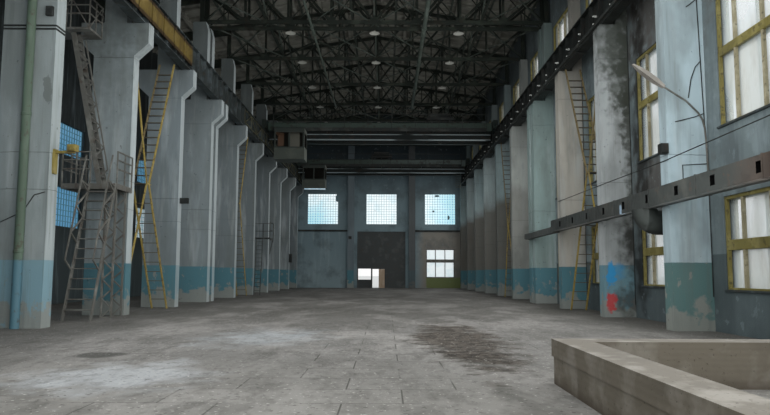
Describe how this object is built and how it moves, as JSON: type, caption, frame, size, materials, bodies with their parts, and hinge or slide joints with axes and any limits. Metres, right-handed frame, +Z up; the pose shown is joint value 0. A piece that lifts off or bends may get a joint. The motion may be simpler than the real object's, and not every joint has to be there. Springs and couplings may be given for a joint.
{
  "type": "crane hall of a factory building, 1:2 scale model",
  "caption": "Hollow crane hall of a factory building with one side aisle, concrete columns, trussed roof, travelling overhead cranes and a gate with a wicket door, half real size.",
  "frame": {"origin": "on the ground, in the middle of the hall between its crane rails and its gables", "axes": "+Z up, +Y along the hall towards the gable with the gate, +X towards the windowed wall"},
  "size_m": [13.495, 39.88, 9.96],
  "materials": {
    "worn_floor": "worn dusty concrete paving",
    "raw_concrete": "cast concrete, matt",
    "painted_concrete": "whitewashed concrete with a blue dado, matt, stained",
    "plaster": "limewashed plaster, matt, patched",
    "roof_slabs": "sooty ribbed concrete slabs",
    "truss_steel": "dark painted steel, matt, sooty",
    "runway_steel": "dark painted rolled steel",
    "dark_steel": "dark oiled steel",
    "grey_steel": "grey primed steel with rust",
    "yellow_paint": "faded yellow enamel, chipped",
    "olive_paint": "faded ochre enamel, sooty",
    "duct_sheet": "grey painted sheet steel, dusty",
    "green_pipe": "green enamel on cast pipe",
    "lamp_enamel": "white enamelled shade",
    "gate_steel": "dark grey sheet steel",
    "crane_green": "dark green enamel, dusty",
    "tan_leaf": "tan painted sheet steel",
    "glass_blocks": "pressed glass blocks, milky",
    "pane_glass": "dusty window glass"
  },
  "bodies": {
    "hall": {"floor_slab": "worn_floor", "pit_rim": "raw_concrete", "far_wall_left": "plaster", "far_wall_right": "plaster", "far_wall_over_gate": "plaster", "near_wall": "plaster", "right_wall": "plaster", "left_wall": "plaster", "gable_pilasters": "painted_concrete", "gable_ledges": "dark_steel", "roof_left_slope": "roof_slabs", "roof_right_slope": "roof_slabs", "trusses_near": "truss_steel", "trusses_far": "truss_steel", "aisle_beams": "truss_steel", "roof_ties": "truss_steel", "left_columns": "painted_concrete", "right_columns": "painted_concrete", "left_crane_girder": "runway_steel", "right_crane_girder": "runway_steel", "girder_panels": "yellow_paint", "girder_lattice": "olive_paint", "conductor_rail": "dark_steel", "air_duct": "duct_sheet", "duct_elbow": "duct_sheet", "downpipe": "green_pipe", "stair_platforms": "grey_steel", "platform_tower": "grey_steel", "grey_stairs": "grey_steel", "yellow_ladders": "yellow_paint", "lamps": "lamp_enamel", "gate_left_part": "gate_steel", "gate_right_part": "gate_steel", "gate_top_part": "gate_steel", "gable_glass": "glass_blocks", "right_glass_low": "pane_glass", "right_glass_middle": "pane_glass", "right_glass_top": "pane_glass", "aisle_glass": "glass_blocks"},
    "near_crane": {"near_crane_girders": "crane_green", "near_crane_carriages": "crane_green", "near_crane_walkway": "dark_steel", "near_crane_cab": "crane_green"},
    "near_trolley": {"near_crane_trolley": "dark_steel"},
    "far_crane": {"far_crane_girders": "crane_green", "far_crane_carriages": "crane_green", "far_crane_walkway": "dark_steel", "far_crane_cab": "crane_green"},
    "far_trolley": {"far_crane_trolley": "dark_steel"},
    "wicket": {"wicket_door": "tan_leaf"}
  },
  "joints": [
    {"name": "near_crane_travel", "type": "slide", "parent": "hall", "child": "near_crane", "axis": [0, 1, 0], "range_m": [-27.7, 3.2]},
    {"name": "near_trolley_travel", "type": "slide", "parent": "near_crane", "child": "near_trolley", "axis": [1, 0, 0], "range_m": [-6.2, 1.3]},
    {"name": "far_crane_travel", "type": "slide", "parent": "hall", "child": "far_crane", "axis": [0, 1, 0], "range_m": [-3.2, 0.4]},
    {"name": "far_trolley_travel", "type": "slide", "parent": "far_crane", "child": "far_trolley", "axis": [1, 0, 0], "range_m": [-3.75, 3.7]},
    {"name": "wicket_hinge", "type": "hinge", "parent": "hall", "child": "wicket", "pos_m": [0.18, 19.7897, 0.08], "axis": [0, 0, 1], "range_deg": [-63, 47]}
  ]
}
